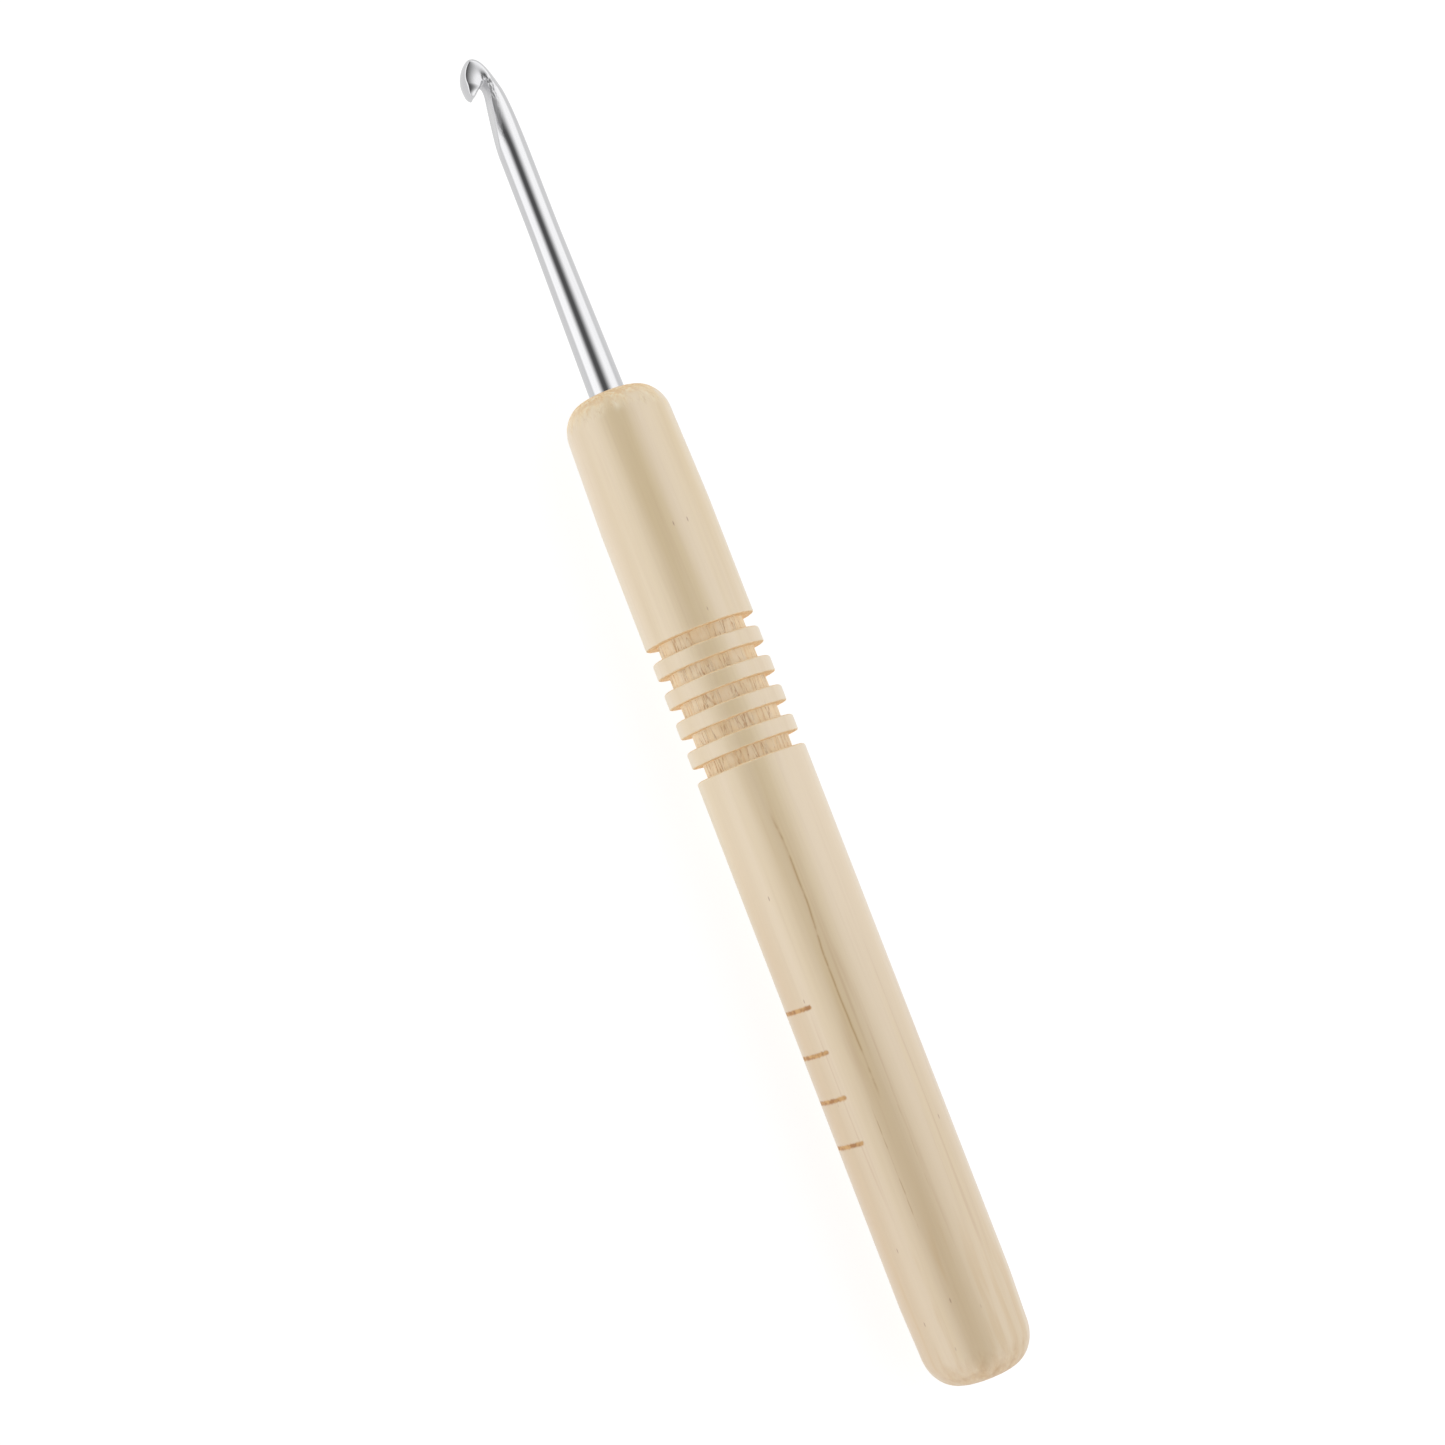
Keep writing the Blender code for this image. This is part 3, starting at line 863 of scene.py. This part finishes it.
def torn_wood(shader, end_grain):
    """Bare torn wood's colour, with fibres along it and speckled end grain, and its relief."""
    tone = shader.blend(shader.between(shader.noise(120, 700), 0.35, 0.65), TORN, WARM_TORN)
    flecks = shader.noise(420, 3000, detail=4, roughness=0.7)
    tone = shader.blend(shader.between(flecks, 0.50, 0.70, 0, 0.45), tone, FLECK)
    tone = shader.blend(shader.between(flecks, 0.46, 0.30, 0, 0.60), tone, PALE_FLECK)
    lines = shader.calc("MAXIMUM", shader.thin_lines(140, 1250, 0.026),
                        shader.thin_lines(70, 520, 0.012))
    lines = shader.times(lines, shader.between(end_grain, 0.6, 0.2))
    broken = shader.between(shader.noise(900, 900), 0.36, 0.56, 0.1, 0.55)
    tone = shader.blend(shader.times(lines, broken), tone, FIBRE)
    speckle = shader.noise(1500, 2600, detail=4, roughness=0.75)
    cross_cut = shader.blend(shader.between(speckle, 0.38, 0.50), CROSS_CUT, WARM_CROSS_CUT)
    cross_cut = shader.blend(shader.between(speckle, 0.52, 0.64, 0, 0.7), cross_cut,
                             DARK_CROSS_CUT)
    cross_cut = shader.blend(growth_arcs(shader), cross_cut, CROSS_CUT_RING)
    tone = shader.blend(shader.between(end_grain, 0.25, 0.85, 0, 0.9), tone, cross_cut)
    return tone, shader.calc("ADD", flecks, shader.times(lines, -0.6))


def wood_material():
    shader = Shader("pale_varnished_wood")
    raw = shader.attribute("raw")
    burn = shader.attribute("burn")
    tone, fine = plain_wood(shader)
    torn, fibres = torn_wood(shader, shader.attribute("end_grain"))
    tone = shader.blend(raw, tone, torn)
    soaked = shader.between(shader.noise(500, 1800, detail=4, roughness=0.7), 0.35, 0.60)
    butt = shader.times(shader.attribute("butt"),
                        shader.calc("ADD", shader.times(soaked, 0.45), 0.3))
    tone = shader.blend(butt, tone, shader.blend(growth_arcs(shader), BUTT, BUTT_RING))
    patchy = shader.between(shader.noise(1300, 1300), 0.38, 0.62)
    tone = shader.blend(shader.times(burn, 0.9), tone, shader.blend(patchy, BURNED, SINGED))

    bare = shader.calc("MAXIMUM", raw, shader.times(burn, 0.6))
    grain = shader.bump(fine, 0.000008, 0.4)
    shader.set({
        "Base Color": tone,
        "Roughness": shader.between(bare, 0.0, 1.0, 0.40, 0.75),
        "Coat Weight": shader.between(bare, 0.0, 0.7, 1.0, 0.0),
        "Coat Roughness": 0.28,
        "Coat IOR": 1.9,
        "Normal": shader.bump(shader.times(fibres, raw), 0.00007, 0.8, grain),
    })
    return shader.material


def metal_material():
    shader = Shader("polished_metal")
    cut = shader.attribute("cut")
    polish = shader.noise(60, 5200, detail=2)
    mottle = shader.noise(2600, 3600, roughness=0.6)
    worn = shader.between(shader.noise(30, 700), 0.35, 0.65)
    scuffed = shader.calc("ADD", cut, shader.times(polish, 0.12))
    lines = shader.bump(polish, 0.0000012, 0.5)
    shader.set({
        "Base Color": shader.blend(worn, METAL, DULL_METAL),
        "Metallic": 1.0,
        "Roughness": shader.between(scuffed, 0.0, 1.1, 0.10, 0.40),
        "Normal": shader.bump(shader.times(mottle, cut), 0.00003, 0.8, lines),
    })
    return shader.material


def glue_material():
    shader = Shader("cured_glue")
    cloud = shader.noise(900, 900, detail=4)
    shader.set({
        "Base Color": shader.blend(cloud, GLUE, PALE_GLUE),
        "Roughness": shader.between(cloud, 0.3, 0.7, 0.18, 0.38),
        "Normal": shader.bump(cloud, 0.00005, 0.4),
    })
    return shader.material


def floor_material():
    """White acrylic, lit from behind."""
    shader = Shader("lit_white_floor")
    shader.set({
        "Base Color": (FLOOR_GREY, FLOOR_GREY, FLOOR_GREY, 1),
        "Roughness": 0.9,
        "Emission Color": (1, 1, 1, 1),
        "Emission Strength": FLOOR_GLOW,
    })
    return shader.material


# The stage --------------------------------------------------------------------------------

def make_floor():
    """A pale floor under a white dome, which only the camera sees.

    The hook's light is the world's alone, also from below, as on a lit table. The floor
    still takes the hook's shadow.
    """
    low = AXIS_Z - HANDLE_RADIUS
    outline = [(TENT_RADIUS * share, low) for share in (0.01, 0.5, 0.99)]
    outline += [
        (TENT_RADIUS * cos(radians(angle)), low + TENT_RADIUS * sin(radians(angle)))
        for angle in range(0, 90, TENT_ANGLE_STEP)
    ]
    turns = np.linspace(0, 2 * pi, TENT_FACETS, endpoint=False)
    rings = np.array([
        np.stack([radius * np.cos(turns), radius * np.sin(turns), height + 0 * turns], axis=-1)
        for radius, height in outline
    ])
    mesh = mesh_of_rings("floor", rings, {})
    mesh.materials.append(floor_material())
    floor = bpy.data.objects.new("floor", mesh)
    bpy.context.scene.collection.objects.link(floor)
    floor.visible_diffuse = False
    floor.visible_glossy = False
    floor.visible_shadow = False


def make_light():
    """Long soft lights parallel to the hook, with a dark gap above, where the camera is.

    The world's brightness follows the angle round the hook's axis.
    """
    world = bpy.data.worlds.new("studio")
    world.use_nodes = True
    bpy.context.scene.world = world
    nodes = Nodes(world.node_tree)
    direction = nodes.add("ShaderNodeTexCoord").outputs["Generated"]
    _, y, z = nodes.add("ShaderNodeSeparateXYZ", {0: direction}).outputs
    turn = nodes.calc("ADD", nodes.calc("DIVIDE", nodes.calc("ARCTAN2", y, z), 2 * pi), 0.5)
    ramp = nodes.add("ShaderNodeValToRGB", {"Fac": turn})
    ramp.color_ramp.interpolation = "EASE"
    stops = ramp.color_ramp.elements
    for _ in LIGHT_STOPS[2:]:
        stops.new(0.5)
    for stop, (_, share) in zip(stops, LIGHT_STOPS):
        stop.color = (share, share, share, 1)
    for stop, (angle, _) in zip(stops, LIGHT_STOPS):
        stop.position = angle / 360 + 0.5
    background = world.node_tree.nodes["Background"]
    nodes.put(background.inputs["Color"], ramp.outputs["Color"])
    nodes.put(background.inputs["Strength"], LIGHT_RADIANCE)


def make_camera():
    """Above the hook, leaning to the lip's side, with the tip to the upper left."""
    lean = Vector((0, -sin(CAMERA_LEAN), cos(CAMERA_LEAN)))
    back = lean * cos(CAMERA_TILT) + Vector((sin(CAMERA_TILT), 0, 0))
    towards_tip = Vector((-1, 0, 0))
    up = (towards_tip - back * towards_tip.dot(back)).normalized()
    side = up.cross(back)
    up_in_view = side * sin(CAMERA_ROLL) + up * cos(CAMERA_ROLL)
    right_in_view = side * cos(CAMERA_ROLL) - up * sin(CAMERA_ROLL)
    aim = Vector((AIM_X, 0, AXIS_Z)) - side * AIM_OFFSET
    data = bpy.data.cameras.new("camera")
    data.lens = CAMERA_LENS
    data.sensor_width = SENSOR_WIDTH
    data.clip_start = 0.01
    camera = bpy.data.objects.new("camera", data)
    turn = Matrix((right_in_view, up_in_view, back)).transposed().to_4x4()
    camera.matrix_world = Matrix.Translation(aim + back * CAMERA_DISTANCE) @ turn
    bpy.context.scene.collection.objects.link(camera)
    bpy.context.scene.camera = camera


def dress_glue():
    """The glue stays the model's own solid, with a material of its own."""
    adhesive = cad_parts["adhesive"]
    adhesive.data.materials.clear()
    adhesive.data.materials.append(glue_material())


make_camera()
make_floor()
make_light()
bpy.context.scene.view_settings.view_transform = "Standard"
make_hook()
make_handle()
dress_glue()
